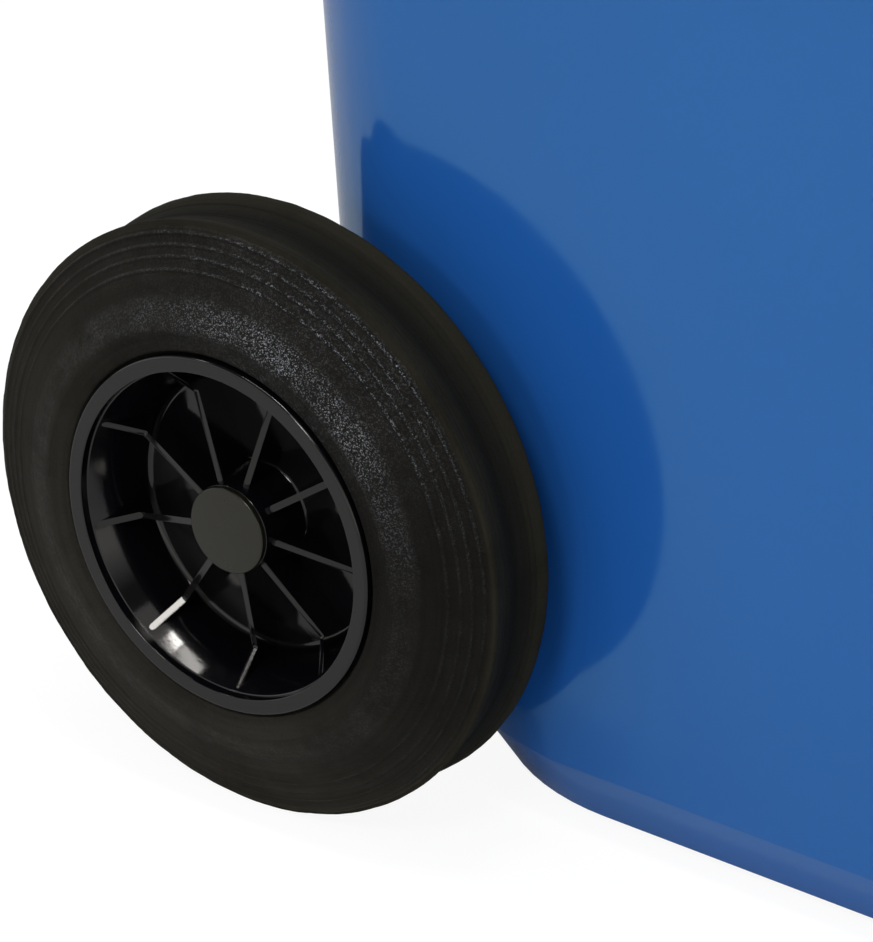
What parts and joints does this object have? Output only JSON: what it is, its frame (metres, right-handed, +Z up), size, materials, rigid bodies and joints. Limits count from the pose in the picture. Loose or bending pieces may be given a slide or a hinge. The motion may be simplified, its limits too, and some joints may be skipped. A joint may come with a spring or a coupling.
{
  "type": "wheeled cool box",
  "caption": "Insulated cool box with hinged lid, two large wheels at one end, swinging tow handle at the other, lift handle, drain plug and sliding basket.",
  "frame": {"origin": "on the ground, in the middle of the overall length and width", "axes": "+X along the length towards the tow handle, +Y to the left, towards the lid hinges, +Z up; the wheels are at the -X end"},
  "size_m": [0.7976, 0.4934, 0.4604],
  "materials": {
    "shell_blue": "gloss",
    "liner_white": "satin",
    "basket_grey": "satin",
    "foam": "matt cellular",
    "seal_grey": "matt",
    "seal_black": "matt",
    "fitting_black": "satin",
    "bright_steel": "zinc-plated",
    "tube_metal": "satin",
    "grip_rubber": "matt",
    "rim_black": "gloss",
    "cap_black": "satin",
    "bush_white": "satin",
    "tyre": "grained"
  },
  "bodies": {
    "body": {"outer_shell": "shell_blue", "foam_core": "foam", "inner_liner": "liner_white", "hinge_base_front": "fitting_black", "hinge_base_rear": "fitting_black", "hinge_pin_front": "bright_steel", "hinge_pin_rear": "bright_steel", "hinge_base_screws": "bright_steel", "axle": "bright_steel", "axle_saddle_left": "fitting_black", "axle_saddle_right": "fitting_black", "saddle_screws": "bright_steel", "axle_spacer_left": "fitting_black", "axle_spacer_right": "fitting_black", "push_nut_left": "bright_steel", "push_nut_right": "bright_steel", "foot_left": "seal_black", "foot_right": "seal_black", "tow_bracket_left": "fitting_black", "tow_bracket_right": "fitting_black", "tow_pin_left": "bright_steel", "tow_pin_right": "bright_steel", "tow_screws": "bright_steel", "lift_bracket_left": "fitting_black", "lift_bracket_right": "fitting_black", "lift_pin_left": "bright_steel", "lift_pin_right": "bright_steel", "lift_screws": "bright_steel", "drain_body": "fitting_black", "drain_washer": "seal_black", "drain_nut": "fitting_black"},
    "lid": {"lid_shell": "shell_blue", "lid_foam": "foam", "lid_panel": "liner_white", "lid_gasket": "seal_grey", "hinge_strap_front": "fitting_black", "hinge_strap_rear": "fitting_black", "hinge_strap_screws": "bright_steel"},
    "wheel_left": {"wheel_rim_left": "rim_black", "tyre_left": "tyre", "hub_bush_left": "bush_white", "hub_cap_left": "cap_black"},
    "wheel_right": {"wheel_rim_right": "rim_black", "tyre_right": "tyre", "hub_bush_right": "bush_white", "hub_cap_right": "cap_black"},
    "tow_handle": {"tow_arm": "tube_metal", "tow_grip": "grip_rubber"},
    "lift_handle": {"lift_bail": "tube_metal", "lift_grip": "grip_rubber"},
    "drain_plug": {"drain_plug": "shell_blue", "drain_seal": "seal_black"},
    "basket": {"basket": "basket_grey"}
  },
  "joints": [
    {"name": "lid_hinge", "type": "hinge", "parent": "body", "child": "lid", "pos_m": [0, 0.214, 0.4082], "axis": [-1, 0, 0], "range_deg": [0, 95]},
    {"name": "wheel_left_spin", "type": "hinge", "parent": "body", "child": "wheel_left", "pos_m": [-0.29884, 0.21968, 0.1], "axis": [0, 1, 0], "continuous": true},
    {"name": "wheel_right_spin", "type": "hinge", "parent": "body", "child": "wheel_right", "pos_m": [-0.29884, -0.21968, 0.1], "axis": [0, 1, 0], "continuous": true},
    {"name": "tow_handle_swing", "type": "hinge", "parent": "body", "child": "tow_handle", "pos_m": [0.38384, 0, 0.3775], "axis": [0, -1, 0], "range_deg": [0, 135]},
    {"name": "lift_handle_swing", "type": "hinge", "parent": "body", "child": "lift_handle", "pos_m": [-0.35416, 0, 0.3775], "axis": [0, 1, 0], "range_deg": [0, 100]},
    {"name": "drain_plug_pull", "type": "slide", "parent": "body", "child": "drain_plug", "axis": [1, 0, 0], "range_m": [0, 0.03]},
    {"name": "basket_slide", "type": "slide", "parent": "body", "child": "basket", "axis": [1, 0, 0], "range_m": [0, 0.317]}
  ]
}
